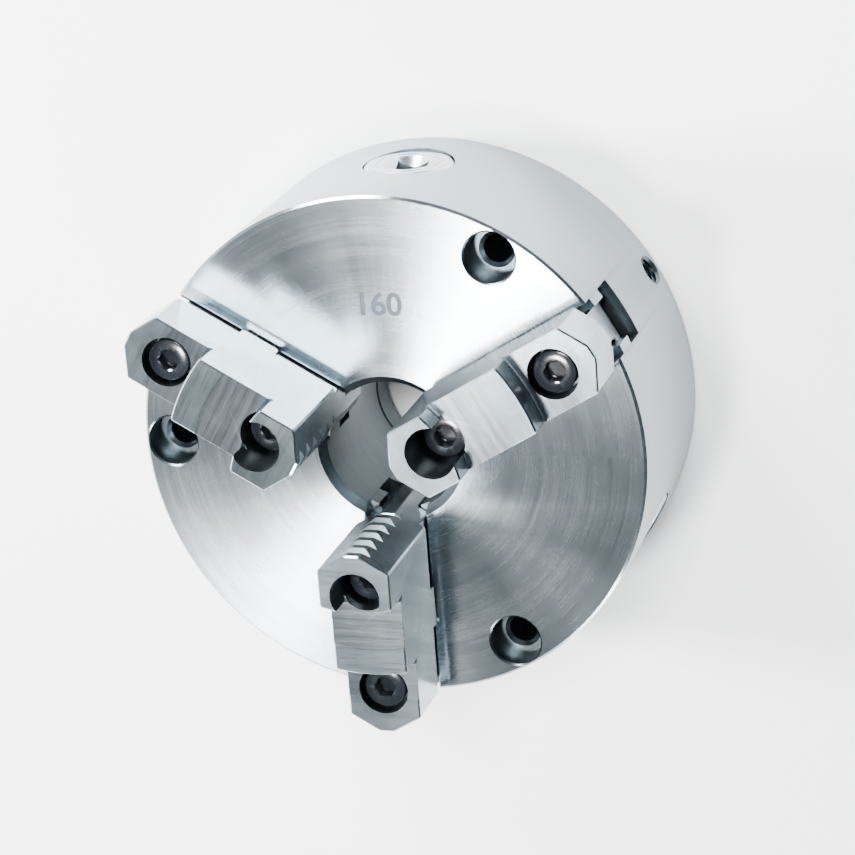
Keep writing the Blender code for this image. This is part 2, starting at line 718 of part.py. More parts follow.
# ---------------------------------------------------------------- rear cover
def rear_cover():
    rim = REGISTER_RADIUS - BORE_GAP
    bore = HUB_RADIUS + BORE_GAP
    collar_top = SCROLL_BACK - JOINT_GAP
    profile = [
        (COLLAR_OUTER, collar_top),
        (COLLAR_OUTER, COVER_FRONT),
        (rim, COVER_FRONT),
        (rim, COVER_BACK),
        (bore, COVER_BACK),
        (bore, COVER_FRONT),
        (COLLAR_INNER, COVER_FRONT),
        (COLLAR_INNER, collar_top),
    ]
    made = turned("rear_cover", profile, "cover", INNER_STEPS)
    for index in range(JAW_COUNT):
        name = f"journal_hole_cutter_{index + 1}"
        radius = PINION_JOURNAL_RADIUS + BORE_GAP
        hole = prism(name, SMALL_STEPS, radius, COLLAR_INNER - OVERCUT, COLLAR_OUTER + OVERCUT)
        cut(made, place(hole, along_radius(pinion_angle(index), PINION_HEIGHT)))
        head = COVER_BACK + COVER_HEAD_HEIGHT + JOINT_GAP
        steps = [
            (0, COVER_FRONT + OVERCUT),
            (COVER_SCREW_RADIUS + SCREW_HOLE_GAP, COVER_FRONT + OVERCUT),
            (COVER_SCREW_RADIUS + SCREW_HOLE_GAP, head),
            (COVER_HEAD_RADIUS + SCREW_HOLE_GAP, head),
            (COVER_HEAD_RADIUS + SCREW_HOLE_GAP, COVER_BACK - OVERCUT),
            (0, COVER_BACK - OVERCUT),
        ]
        seat = turned(f"cover_screw_seat_cutter_{index + 1}", steps, steps=SMALL_STEPS)
        cut(made, place(seat, about_z(jaw_angle(index)) @ Matrix.Translation((COVER_SCREW_CIRCLE, 0, 0))))
    return finish(made)


# ---------------------------------------------------------------- screws
def cap_screw(name, head_radius, head_height, shank_radius, length, key, key_depth, steps):
    """A socket head cap screw, head up, with the top of its head at the origin."""
    profile = [
        (0, 0),
        (head_radius - SCREW_EDGE, 0),
        (head_radius, -SCREW_EDGE),
        (head_radius, -head_height),
        (shank_radius, -head_height),
        (shank_radius, -length + SCREW_EDGE),
        (shank_radius - SCREW_EDGE, -length),
        (0, -length),
    ]
    made = turned(name, profile, "black", steps)
    socket = prism(f"{name}_socket_cutter", 6, key / math.sqrt(3), -key_depth, OVERCUT)
    cut(made, socket)
    return bake(made)


def cover_screw(index):
    length = COVER_HEAD_HEIGHT + COVER_SCREW_REACH
    made = cap_screw(
        f"cover_screw_{index + 1}",
        COVER_HEAD_RADIUS,
        COVER_HEAD_HEIGHT,
        COVER_SCREW_RADIUS,
        length,
        COVER_KEY,
        COVER_KEY_DEPTH,
        SMALL_STEPS,
    )
    over = Matrix.Rotation(math.pi, 4, "X")
    place(made, about_z(jaw_angle(index)) @ Matrix.Translation((COVER_SCREW_CIRCLE, 0, COVER_BACK)) @ over)
    return finish(made)


def jaw_screw(index, which):
    label = ("inner", "outer")[which]
    top = HEAD_TOPS[which]
    made = cap_screw(
        f"{label}_jaw_screw_{index + 1}",
        SCREW_HEAD_RADIUS,
        SCREW_HEAD_HEIGHT,
        SCREW_SHANK_RADIUS,
        top - MASTER_TOP + SCREW_REACH,
        SCREW_KEY,
        SCREW_KEY_DEPTH,
        HOLE_STEPS,
    )
    place(made, about_z(jaw_angle(index)) @ Matrix.Translation((SCREW_PLACES[which], 0, top)))
    return finish(made)


# ---------------------------------------------------------------- master jaws
def master_section():
    head = SLOT_MOUTH_WIDTH / 2 - SLIDE_GAP
    neck = GUIDE_RIB_GAP / 2 - NECK_GAP
    flange = SLOT_FLANGE_WIDTH / 2 - FLANGE_GAP
    tongue = TONGUE_WIDTH / 2
    half = [
        (flange, TOOTH_ROOT),
        (flange, GUIDE_RIB_BOTTOM - SLIDE_GAP),
        (neck, GUIDE_RIB_BOTTOM - SLIDE_GAP),
        (neck, GUIDE_RIB_TOP + SLIDE_GAP),
        (head, GUIDE_RIB_TOP + SLIDE_GAP),
        (head, MASTER_TOP),
        (tongue, MASTER_TOP),
        (tongue, MASTER_TOP + TONGUE_HEIGHT),
    ]
    return half + [(-y, z) for y, z in reversed(half)]


def jaw_teeth(index):
    """Each jaw's teeth stand a third of a pitch further out than the last one's."""
    shift = index * SCROLL_THREAD_PITCH / JAW_COUNT
    teeth = []
    middle = OUTER_TOOTH_RADIUS + shift
    while middle + SCROLL_THREAD_PITCH / 2 > MASTER_OUTER + SCROLL_THREAD_PITCH / 3:
        middle -= SCROLL_THREAD_PITCH
    while middle > MASTER_INNER + SCROLL_THREAD_PITCH / 2:
        name = f"jaw_tooth_{index + 1}_{len(teeth) + 1}"
        teeth.append(extruded(name, tooth_outline(middle), TOOTH_TIP, TOOTH_ROOT + EMBED))
        middle -= SCROLL_THREAD_PITCH
    return joined(f"jaw_teeth_{index + 1}", teeth)


def master_jaw(index):
    name = f"master_jaw_{index + 1}"
    made = extruded(name, master_section(), MASTER_INNER - OVERCUT, MASTER_OUTER + OVERCUT, "ground")
    bake(place(made, LAID_OUTWARD))
    combine(made, jaw_teeth(index), "UNION")
    plan = pointed_outline(MASTER_INNER, MASTER_OUTER, JAW_WIDTH, JAW_TIP_FLAT, JAW_TIP_ANGLE, False)
    limits = extruded(f"{name}_plan_cutter", plan, SLOT_FLOOR - OVERCUT, JAW_TOP)
    combine(made, limits, "INTERSECT")
    slot = CROSS_KEY_WIDTH / 2 + SLIDE_GAP
    low = (SCREW_MIDDLE - slot, -JAW_WIDTH, CROSS_SLOT_FLOOR)
    high = (SCREW_MIDDLE + slot, JAW_WIDTH, JAW_TOP)
    cut(made, box(f"{name}_cross_slot_cutter", low, high))
    for which, x in enumerate(SCREW_PLACES):
        depth = MASTER_TOP - SCREW_REACH - TAP_RUNOUT
        radius = SCREW_SHANK_RADIUS + SCREW_HOLE_GAP
        hole = prism(f"{name}_screw_hole_cutter_{which + 1}", HOLE_STEPS, radius, depth, JAW_TOP)
        cut(made, place(hole, Matrix.Translation((x, 0, 0))))
    bake(made)
    place(made, about_z(jaw_angle(index)))
    finish(made)
    set_origin(made, about_z(jaw_angle(index)) @ Vector((SCREW_MIDDLE, 0, SLOT_FLOOR)))
    return made


# ---------------------------------------------------------------- top jaws
def arc_across(radius):
    """Points along a circle about the spindle axis, from one side of a jaw to the other."""
    spread = math.asin((JAW_WIDTH / 2 + OVERCUT) / radius)
    turns = [spread * (2 * i / ARC_STEPS - 1) for i in range(ARC_STEPS + 1)]
    return [(radius * math.cos(turn), radius * math.sin(turn)) for turn in turns]


def beyond_arc(name, radius, low, high, far=None):
    """A cutter for what lies outside one circle and, when it is given, inside a second."""
    near = arc_across(radius)
    if far is None:
        beyond = [(JAW_OUTER + OVERCUT, near[-1][1]), (JAW_OUTER + OVERCUT, near[0][1])]
    else:
        beyond = arc_across(far)[::-1]
    return extruded(name, (near + beyond)[::-1], low, high)


def relief_groove(name, radius, level):
    """A narrow groove cut at 45 degrees into the foot of a step's wall."""
    half = RELIEF_WIDTH / 2
    lean = math.sqrt(0.5)
    mouth = OVERCUT / 4
    ends = [(-RELIEF_DEPTH, -half), (mouth, -half), (mouth, half), (-RELIEF_DEPTH, half)]
    section = [(radius + lean * (a - b), level + lean * (a + b)) for a, b in ends]
    return turned(name, section, steps=BODY_STEPS)


def serration(name, level):
    """A saw-tooth notch across the gripping tip, level above and sloping below."""
    low = level - SERRATION_SHARE * SERRATION_PITCH
    section = [
        (JAW_INNER - OVERCUT, level),
        (JAW_INNER, level),
        (JAW_INNER + SERRATION_DEPTH, level - SERRATION_LEAN),
        (JAW_INNER, low),
        (JAW_INNER - OVERCUT, low),
    ]
    return place(extruded(name, section, -JAW_WIDTH / 2, JAW_WIDTH / 2), LAID_ACROSS)


def screw_seat(name, place_x, head_top):
    seat = head_top - SCREW_HEAD_HEIGHT - JOINT_GAP
    profile = [
        (0, JAW_TOP + OVERCUT),
        (COUNTERBORE_RADIUS, JAW_TOP + OVERCUT),
        (COUNTERBORE_RADIUS, seat),
        (SCREW_SHANK_RADIUS + SCREW_HOLE_GAP, seat),
        (SCREW_SHANK_RADIUS + SCREW_HOLE_GAP, CROSS_SLOT_FLOOR - OVERCUT),
        (0, CROSS_SLOT_FLOOR - OVERCUT),
    ]
    return place(turned(name, profile), Matrix.Translation((place_x, 0, 0)))


def jaw_steps(made):
    """Cuts the two lower steps, with a ground seat and a relief groove at the foot of each wall."""
    above = JAW_TOP + OVERCUT
    for step, (level, radius, width) in enumerate(zip(STEP_LEVELS, STEP_RADII, SEAT_WIDTHS), 1):
        tag, seat = f"{made.name}_{step}", level - SEAT_DEPTH
        cut(made, beyond_arc(f"step_cutter_{tag}", radius, level, above))
        cut(made, beyond_arc(f"seat_cutter_{tag}", radius, seat, above, radius + width))
        cut(made, relief_groove(f"relief_cutter_{tag}", radius, seat))


def jaw_keys(made):
    """The groove that rides the master jaw's tongue, and the key that drops into its cross slot."""
    groove = TONGUE_WIDTH / 2 + SLIDE_GAP
    low = (JAW_INNER - OVERCUT, -groove, TOP_JAW_BASE - OVERCUT)
    high = (JAW_OUTER + OVERCUT, groove, MASTER_TOP + TONGUE_HEIGHT + JOINT_GAP)
    cut(made, box(f"tongue_groove_cutter_{made.name}", low, high))
    key, half = CROSS_KEY_WIDTH / 2, JAW_WIDTH / 2 - EDGE_BREAK
    low = (SCREW_MIDDLE - key, -half, CROSS_SLOT_FLOOR + JOINT_GAP)
    high = (SCREW_MIDDLE + key, half, MASTER_TOP + TONGUE_HEIGHT + JOINT_GAP + EMBED)
    combine(made, box(f"cross_key_{made.name}", low, high), "UNION")


def top_jaw(index):
    plan = pointed_outline(JAW_INNER, JAW_OUTER, JAW_WIDTH, JAW_TIP_FLAT, JAW_TIP_ANGLE)
    made = extruded(f"top_jaw_{index + 1}", plan, TOP_JAW_BASE, JAW_TOP, "ground")
    bevel = made.modifiers.new("edge_break", "BEVEL")
    bevel.width = EDGE_BREAK
    bevel.segments = 1
    bevel.limit_method = "ANGLE"
    bevel.angle_limit = SHARP_ANGLE
    bake(made)
    jaw_steps(made)
    jaw_keys(made)
    for which, (x, head_top) in enumerate(zip(SCREW_PLACES, HEAD_TOPS), 1):
        cut(made, screw_seat(f"screw_seat_cutter_{made.name}_{which}", x, head_top))
    for notch in range(SERRATION_COUNT):
        level = JAW_TOP - FIRST_SERRATION - notch * SERRATION_PITCH
        cut(made, serration(f"serration_cutter_{made.name}_{notch + 1}", level))
    bake(made)
    place(made, about_z(jaw_angle(index)))
    finish(made)
    set_origin(made, about_z(jaw_angle(index)) @ Vector((SCREW_MIDDLE, 0, MASTER_TOP)))
    return made


# ---------------------------------------------------------------- assembly
def build():
    chuck_body()
    scroll_plate()
    rear_cover()
    for index in range(JAW_COUNT):
        key_pinion(index)
        pinion_retainer(index)
        cover_screw(index)
        master_jaw(index)
        top_jaw(index)
        for which in range(len(SCREW_PLACES)):
            jaw_screw(index, which)


build()
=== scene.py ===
"""Looks of a three-jaw scroll chuck, in metres. A jaw's own frame has X outward and Y across."""
import math

import bmesh
import bpy
from mathutils import Matrix, Vector

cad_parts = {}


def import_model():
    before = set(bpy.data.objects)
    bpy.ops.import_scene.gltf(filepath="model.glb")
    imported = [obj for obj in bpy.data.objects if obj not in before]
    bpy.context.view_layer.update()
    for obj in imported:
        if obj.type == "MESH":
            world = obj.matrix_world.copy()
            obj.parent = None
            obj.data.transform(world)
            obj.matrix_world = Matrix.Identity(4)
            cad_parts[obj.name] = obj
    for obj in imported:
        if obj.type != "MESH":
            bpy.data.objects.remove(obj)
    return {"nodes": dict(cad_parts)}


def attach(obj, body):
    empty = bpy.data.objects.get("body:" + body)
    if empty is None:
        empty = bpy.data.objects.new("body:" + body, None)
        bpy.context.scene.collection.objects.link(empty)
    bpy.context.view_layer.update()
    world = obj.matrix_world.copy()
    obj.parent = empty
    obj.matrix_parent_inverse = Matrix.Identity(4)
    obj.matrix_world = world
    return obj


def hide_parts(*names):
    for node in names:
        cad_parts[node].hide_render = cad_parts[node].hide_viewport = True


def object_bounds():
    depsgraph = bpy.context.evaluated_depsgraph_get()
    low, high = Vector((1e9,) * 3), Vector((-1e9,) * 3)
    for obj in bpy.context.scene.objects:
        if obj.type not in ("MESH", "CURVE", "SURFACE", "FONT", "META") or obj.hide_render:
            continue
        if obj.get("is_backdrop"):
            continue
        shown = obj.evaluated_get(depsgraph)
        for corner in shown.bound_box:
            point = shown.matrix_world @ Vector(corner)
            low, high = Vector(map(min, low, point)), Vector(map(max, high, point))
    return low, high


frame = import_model()
cad_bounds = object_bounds()
MM = 0.001

# ---------------------------------------------------------------- sizes shared with the solid parts
BODY_RADIUS, BODY_HEIGHT, BODY_EDGE = 80 * MM, 66 * MM, 0.8 * MM
BORE_RADIUS, BORE_CHAMFER, HUB_RADIUS = 21 * MM, 2.4 * MM, 28 * MM
REGISTER_RADIUS, REGISTER_DEPTH = 65 * MM, 5 * MM
CAVITY_RADIUS, CAVITY_BACK, CAVITY_FRONT = 56.6 * MM, 13.5 * MM, 47 * MM
JAW_ANGLES = [math.radians(a) for a in (210, 330, 90)]
PINION_ANGLES = [math.radians(a) for a in (270, 30, 150)]
MOUNT_ANGLES = [math.radians(a) for a in (240, 0, 120)]
SLOT_MOUTH, RIB_GAP, SLOT_FLANGE = 19.4 * MM, 13.6 * MM, 19.2 * MM
RIB_TOP, RIB_BOTTOM, SLOT_FLOOR = 61 * MM, 52 * MM, 42.5 * MM
JAW_WIDTH, JAW_INNER, JAW_OUTER = 22.5 * MM, 17.7 * MM, 83.2 * MM
TIP_FLAT, TIP_SLOPE = 4.6 * MM, math.tan(math.radians(60))
MASTER_TOP, MASTER_INNER, MASTER_OUTER = 71 * MM, 18.2 * MM, 75.7 * MM
TONGUE_WIDTH, TONGUE_HEIGHT = 7.94 * MM, 2.2 * MM
CROSS_WIDTH, CROSS_FLOOR = 12.7 * MM, 67 * MM
TOP_BASE, JAW_TOP, STEP_LEVELS = 71.3 * MM, 108.5 * MM, (99.5 * MM, 90.5 * MM)
STEP_RADII, SEAT_WIDTHS, SEAT_DEPTH = (36.4 * MM, 60 * MM), (15.4 * MM, 12.6 * MM), 0.35 * MM
SCREW_MIDDLE, SCREW_PLACES = 50.2 * MM, (31.2 * MM, 69.2 * MM)
HEAD_TOPS, HEAD_RADIUS, HEAD_HEIGHT = (94 * MM, 88.5 * MM), 6.5 * MM, 8 * MM
SHANK_RADIUS, COUNTERBORE_RADIUS = 4 * MM, 7.8 * MM
PINION_HEIGHT, PINION_RADIUS, PINION_END = 27.5 * MM, 14 * MM, 79.4 * MM
PINION_GROOVE_AT, KEY_SOCKET = 72 * MM, 10 * MM
MOUNT_CIRCLE, MOUNT_HEAD, MOUNT_DEPTH, MOUNT_HOLE = 71 * MM, 8 * MM, 9 * MM, 4.5 * MM
SIDE_HOLE_HEIGHT, SIDE_HOLE_RADIUS, SIDE_HOLE_DEPTH = 7 * MM, 4.7 * MM, 12 * MM
SERRATIONS, SERRATION_PITCH, SERRATION_DEPTH = 6, 6 * MM, 1.5 * MM
SCREW_THREAD, SCREW_GRIP, SCREW_KEY = 1.25 * MM, 14 * MM, 6 * MM
COVER_CIRCLE, COVER_HOLE, RETAINER_HOLE = 60.2 * MM, 2.3 * MM, 3.3 * MM
PINION_TEETH, GEAR_INNER, GEAR_OUTER = 9, 40 * MM, 58.6 * MM

# ---------------------------------------------------------------- finer edges and roundness
CHAMFER = 0.45 * MM
MASTER_CHAMFER = 0.3 * MM
SLOT_CHAMFER = 0.4 * MM
HOLE_CHAMFER = 0.5 * MM
SHOULDER_CHAMFER = 1.2 * MM
GAP = 0.3 * MM
MARK, MARK_SIZE, MARK_RADIUS, MARK_DEPTH = "160", 10 * MM, 46 * MM, 0.12 * MM
BODY_STEPS, BORE_STEPS, SCREW_STEPS, ARC_STEPS = 240, 64, 64, 24
JAW_SHARP = math.radians(8)
PAST = 3 * MM


# ---------------------------------------------------------------- material nodes
class Nodes:
    """Adds shader nodes to one tree and links values into them."""

    def __init__(self, tree):
        self.tree = tree

    def add(self, kind, inputs=None, **settings):
        node = self.tree.nodes.new(kind)
        for key, value in settings.items():
            setattr(node, key, value)
        for key, value in (inputs or {}).items():
            if isinstance(value, bpy.types.NodeSocket):
                self.tree.links.new(value, node.inputs[key])
            else:
                node.inputs[key].default_value = value
        return node

    def math(self, operation, a, b=0.0):
        return self.add("ShaderNodeMath", {0: a, 1: b}, operation=operation).outputs[0]

    def noise(self, vector, scale, detail=2.0, rough=0.5):
        inputs = {"Vector": vector, "Scale": scale, "Detail": detail, "Roughness": rough}
        return self.add("ShaderNodeTexNoise", inputs).outputs["Fac"]

    def spread(self, value, low, high, to_low, to_high):
        inputs = {0: value, 1: low, 2: high, 3: to_low, 4: to_high}
        return self.add("ShaderNodeMapRange", inputs).outputs[0]

    def mix(self, factor, a, b):
        node = self.add("ShaderNodeMix", {0: factor}, data_type="RGBA")
        for slot, value in ((6, a), (7, b)):
            if isinstance(value, bpy.types.NodeSocket):
                self.tree.links.new(value, node.inputs[slot])
            else:
                node.inputs[slot].default_value = (*value, 1)
        return node.outputs[2]


def lay_vector(nodes, lay):
    """A point's place, and the same squeezed along the tool marks: turned about Z, or ground one way."""
    place = nodes.add("ShaderNodeTexCoord").outputs["Object"]
    x, y, z = nodes.add("ShaderNodeSeparateXYZ", {0: place}).outputs[:3]
    if lay == "turned":
        squares = [nodes.math("MULTIPLY", side, side) for side in (x, y)]
        radius = nodes.math("SQRT", nodes.math("ADD", *squares))
        turn = nodes.math("MULTIPLY", nodes.math("ARCTAN2", y, x), 0.0006)
        parts = (radius, turn, z)
    elif lay == "ground":
        parts = (nodes.math("MULTIPLY", x, 0.02), y, z)
    elif lay == "crossed":
        parts = (x, nodes.math("MULTIPLY", y, 0.02), z)
    else:
        parts = (x, y, z)
    across = nodes.add("ShaderNodeCombineXYZ", {0: parts[0], 1: parts[1], 2: parts[2]}).outputs[0]
    return place, across


def steel(name, colour, dark, rough, lay, mark=1.0, aniso=0.0, axis="Z", metallic=1.0, wear=None):
    """Steel with tool marks that run one way, blotches of oil, and edges worn brighter."""
    made = bpy.data.materials.new(name)
    made.use_nodes = True
    tree = made.node_tree
    shader = tree.nodes["Principled BSDF"]
    nodes = Nodes(tree)
    place, across = lay_vector(nodes, lay)
    fine = nodes.noise(across, 3800, 3.0, 0.65)
    bands = nodes.noise(across, 420, 3.0, 0.6)
    blotch = nodes.noise(place, 55, 4.0, 0.55)
    marks = nodes.math("ADD", nodes.math("MULTIPLY", fine, 0.6), nodes.math("MULTIPLY", bands, 0.4))
    tone = nodes.spread(marks, 0.36, 0.64, 0.0, 1.0)
    tone = nodes.math("ADD", nodes.math("MULTIPLY", tone, 0.7), nodes.math("MULTIPLY", blotch, 0.3))
    base = nodes.mix(tone, dark, colour)
    edge = nodes.spread(nodes.add("ShaderNodeNewGeometry").outputs["Pointiness"], 0.52, 0.60, 0.0, 0.8)
    base = nodes.mix(edge, base, wear or [min(1.0, c * 1.25) for c in colour])
    tree.links.new(base, shader.inputs["Base Color"])
    gloss = nodes.math("ADD", nodes.math("MULTIPLY", marks, 0.16), nodes.math("MULTIPLY", blotch, 0.10))
    gloss = nodes.math("ADD", gloss, rough - 0.13)
    tree.links.new(gloss, shader.inputs["Roughness"])
    inputs = {"Strength": 0.22 * mark, "Distance": 0.00012, "Height": marks}
    tree.links.new(nodes.add("ShaderNodeBump", inputs).outputs[0], shader.inputs["Normal"])
    shader.inputs["Metallic"].default_value = metallic
    shader.inputs["Anisotropic"].default_value = aniso
    if aniso:
        shader.inputs["Anisotropic Rotation"].default_value = 0.25  # glints stretch across the marks
        tangent = nodes.add("ShaderNodeTangent", direction_type="RADIAL", axis=axis)
        tree.links.new(tangent.outputs[0], shader.inputs["Tangent"])
    return made


TURNED = steel("turned_face_steel", (0.52, 0.57, 0.60), (0.40, 0.45, 0.48), 0.26, "turned", 0.35, 0.9)
# The rim uses a darker copy of the turned face steel: painted shade on the outside rim.
RIM_PAINTED_SHADE = steel("turned_rim_steel_painted_shade", (0.25, 0.29, 0.32), (0.14, 0.175, 0.20), 0.22, "turned", 0.8, 0.85)
# Dark steel for bores, holes and counterbores: painted shade in the recesses.
BORED_PAINTED_SHADE = steel("bored_steel_painted_shade", (0.13, 0.155, 0.17), (0.06, 0.08, 0.09), 0.30, "turned", 1.0)
MILLED = steel("milled_steel", (0.40, 0.45, 0.48), (0.22, 0.26, 0.29), 0.34, "ground", 1.0)
GROUND = steel("ground_jaw_steel", (0.29, 0.34, 0.37), (0.19, 0.235, 0.26), 0.22, "crossed", 0.6, 0.5, "X")
SEAT = steel("ground_seat_steel", (0.46, 0.51, 0.54), (0.36, 0.40, 0.43), 0.19, "crossed", 0.5, 0.5, "X")
CUT = steel("cut_jaw_steel", (0.34, 0.39, 0.42), (0.18, 0.22, 0.25), 0.32, "plain", 0.8)
SCROLL = steel("scroll_steel_machined", (0.50, 0.53, 0.56), (0.34, 0.37, 0.40), 0.34, "turned", 1.0)
COVER = steel("cover_steel_turned", (0.58, 0.61, 0.63), (0.40, 0.43, 0.45), 0.36, "turned", 1.0, 0.5)
PINION = steel("pinion_steel_turned", (0.52, 0.56, 0.60), (0.26, 0.30, 0.34), 0.28, "turned", 1.2)
BLACK = steel("black_oxide", (0.010, 0.012, 0.016), (0.004, 0.005, 0.007), 0.16, "plain", 0.4, metallic=0.0,
              wear=(0.022, 0.025, 0.030))
ETCHED = steel("etched_mark", (0.10, 0.12, 0.14), (0.06, 0.07, 0.09), 0.55, "plain", 0.8)


# ---------------------------------------------------------------- shape helpers
def link(name, mesh, *materials):
    made = bpy.data.objects.new(name, mesh)
    bpy.context.scene.collection.objects.link(made)
    mesh.materials.clear()
    for material in materials:
        mesh.materials.append(material)
    return made


def mesh_from(name, work):
    mesh = bpy.data.meshes.new(name)
    bmesh.ops.recalc_face_normals(work, faces=work.faces[:])
    work.to_mesh(mesh)
    work.free()
    return mesh


def turned(name, profile, material, steps=BORE_STEPS):
    """A closed profile of (radius, height) points, turned about Z and started half a step round."""
    work = bmesh.new()
    count = len(profile)
    rings = []
    for radius, height in profile:
        if radius == 0:
            rings.append([work.verts.new((0, 0, height))] * steps)
            continue
        turns = [2 * math.pi * (i + 0.5) / steps for i in range(steps)]
        rings.append([work.verts.new((radius * math.cos(t), radius * math.sin(t), height)) for t in turns])
    for index in range(count):
        a, b = rings[index], rings[(index + 1) % count]
        for i in range(steps):
            j = (i + 1) % steps
            corners = []
            for vert in (a[i], a[j], b[j], b[i]):
                if vert not in corners:
                    corners.append(vert)
            if len(corners) > 2:
                work.faces.new(corners)
    return link(name, mesh_from(name, work), material)


def extruded(name, outline, low, high, material):
    work = bmesh.new()
    face = work.faces.new([work.verts.new((x, y, low)) for x, y in outline])
    lifted = bmesh.ops.extrude_face_region(work, geom=[face])
    raised = [part for part in lifted["geom"] if isinstance(part, bmesh.types.BMVert)]
    bmesh.ops.translate(work, verts=raised, vec=(0, 0, high - low))
    return link(name, mesh_from(name, work), material)


def box(name, low, high, material):
    work = bmesh.new()
    bmesh.ops.create_cube(work, size=1)
    for vert in work.verts:
        vert.co = [a + (b - a) * (c + 0.5) for a, b, c in zip(low, high, vert.co)]
    return link(name, mesh_from(name, work), material)


def prism(name, corners, radius, low, high, material, turn=0.0, flare=None):
    work = bmesh.new()
    spin = Matrix.Rotation(turn, 4, "Z")
    bmesh.ops.create_cone(
        work, cap_ends=True, segments=corners, radius1=radius, radius2=flare or radius, depth=high - low
    )
    bmesh.ops.transform(work, matrix=Matrix.Translation((0, 0, (low + high) / 2)) @ spin, verts=work.verts)
    return link(name, mesh_from(name, work), material)


def bake(made):
    bpy.context.view_layer.update()
    seen = made.evaluated_get(bpy.context.evaluated_depsgraph_get())
    mesh = bpy.data.meshes.new_from_object(seen)
    mesh.transform(made.matrix_world)
    made.modifiers.clear()
    made.data = mesh
    made.matrix_world = Matrix()
    return made


def joined(pieces):
    """Several pieces in one mesh, each with its own material."""
    work = bmesh.new()
    materials = []
    for piece in pieces:
        bake(piece)
        own = piece.data.materials[0]
        if own not in materials:
            materials.append(own)
        for face in piece.data.polygons:
            face.material_index = materials.index(own)
        work.from_mesh(piece.data)
    name = pieces[0].name
    for piece in pieces:
        bpy.data.objects.remove(piece)
    mesh = bpy.data.meshes.new(name)
    work.to_mesh(mesh)
    work.free()
    return link(name, mesh, *materials)


def combine(target, other, operation="DIFFERENCE"):
    """Cuts or adds at once; the new faces keep the cutter's material."""
    step = target.modifiers.new("combine", "BOOLEAN")
    step.operation = operation
    step.solver = "EXACT"
    step.use_self = target.name.startswith(("TopJaw", "MasterJaw"))
    step.material_mode = "TRANSFER"
    step.object = other
    bake(target)
    bpy.data.objects.remove(other)
    return target


def cut(target, *cutters):
    for cutter in cutters:
        combine(target, cutter)
    return target


def merged(made, angle=math.radians(0.4)):
    """Joins the flat faces that the cuts have split, so that a bevel runs clean along each edge."""
    work = bmesh.new()
    work.from_mesh(made.data)
    bmesh.ops.remove_doubles(work, verts=work.verts, dist=1e-6)
    bmesh.ops.dissolve_limit(
        work, angle_limit=angle, verts=work.verts, edges=work.edges, delimit={"MATERIAL"}
    )
    work.to_mesh(made.data)
    work.free()
    return made


def chamfered(made, width):
    bevel = made.modifiers.new("chamfer", "BEVEL")
    bevel.width = width
    bevel.segments = 1
    bevel.limit_method = "ANGLE"
    bevel.angle_limit = math.radians(25)
    bevel.use_clamp_overlap = False
    return bake(made)


def about_z(angle):
    return Matrix.Rotation(angle, 4, "Z")


def place(made, matrix):
    made.matrix_world = matrix @ made.matrix_world
    return made


def along_radius(angle, height):
    return about_z(angle) @ Matrix.Translation((0, 0, height)) @ Matrix.Rotation(math.pi / 2, 4, "Y")


def finish(made, node, body, matrix=None, sharp=math.radians(30)):
    """Shades, puts in place, and lets the piece stand for its CAD node and ride on its body."""
    made.data.shade_smooth()
    made.data.set_sharp_from_angle(angle=sharp)
    made.matrix_world = matrix or Matrix()
    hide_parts(node)
    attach(made, body)
    return made


LAID_OUTWARD = Matrix(((0, 0, 1, 0), (1, 0, 0, 0), (0, 1, 0, 0), (0, 0, 0, 1)))
LAID_ACROSS = Matrix(((1, 0, 0, 0), (0, 0, -1, 0), (0, 1, 0, 0), (0, 0, 0, 1)))


def mirrored(half):
    return half + [(-y, z) for y, z in reversed(half)]


# ---------------------------------------------------------------- chuck body
def jaw_slot(angle):
    lip = SLOT_CHAMFER
    half = [
        (SLOT_FLANGE / 2, SLOT_FLOOR),
        (SLOT_FLANGE / 2, RIB_BOTTOM),
        (RIB_GAP / 2, RIB_BOTTOM),
        (RIB_GAP / 2, RIB_TOP),
        (SLOT_MOUTH / 2, RIB_TOP),
        (SLOT_MOUTH / 2, BODY_HEIGHT - lip),
        (SLOT_MOUTH / 2 + lip + PAST, BODY_HEIGHT + PAST),
    ]
    made = extruded("slot", mirrored(half), BORE_RADIUS / 2, BODY_RADIUS + PAST, MILLED)
    return place(made, about_z(angle) @ LAID_OUTWARD)


def mount_hole(angle):
    shoulder, lip = BODY_HEIGHT - MOUNT_DEPTH, HOLE_CHAMFER
    profile = [
        (0, BODY_HEIGHT + PAST),
        (MOUNT_HEAD + lip + PAST, BODY_HEIGHT + PAST),
        (MOUNT_HEAD, BODY_HEIGHT - lip),
        (MOUNT_HEAD, shoulder),
        (MOUNT_HOLE + SHOULDER_CHAMFER, shoulder),
        (MOUNT_HOLE, shoulder - SHOULDER_CHAMFER),
        (MOUNT_HOLE, -PAST),
        (0, -PAST),
    ]
    made = turned("mount", profile, CUT)
    return place(made, about_z(angle) @ Matrix.Translation((MOUNT_CIRCLE, 0, 0)))


def threaded_side_hole(angle):
    """A blind tapped hole: V grooves one after another, with a countersink at the mouth."""
    pitch, depth = SCREW_THREAD, 0.55 * MM
    outer, inner = BODY_RADIUS + PAST, BODY_RADIUS - SIDE_HOLE_DEPTH
    crest = SIDE_HOLE_RADIUS - depth
    mouth = BODY_RADIUS - 0.9 * MM
    profile = [(0, outer), (SIDE_HOLE_RADIUS + 0.6 * MM + PAST, outer), (crest, mouth)]
    height = mouth - 0.3 * MM
    while height - pitch > inner:
        profile += [(crest, height), (SIDE_HOLE_RADIUS, height - pitch / 2), (crest, height - pitch * 0.98)]
        height -= pitch
    profile += [(crest, inner), (0, inner)]
    return place(turned("side_hole", profile, BORED_PAINTED_SHADE, 48), along_radius(angle, SIDE_HOLE_HEIGHT))


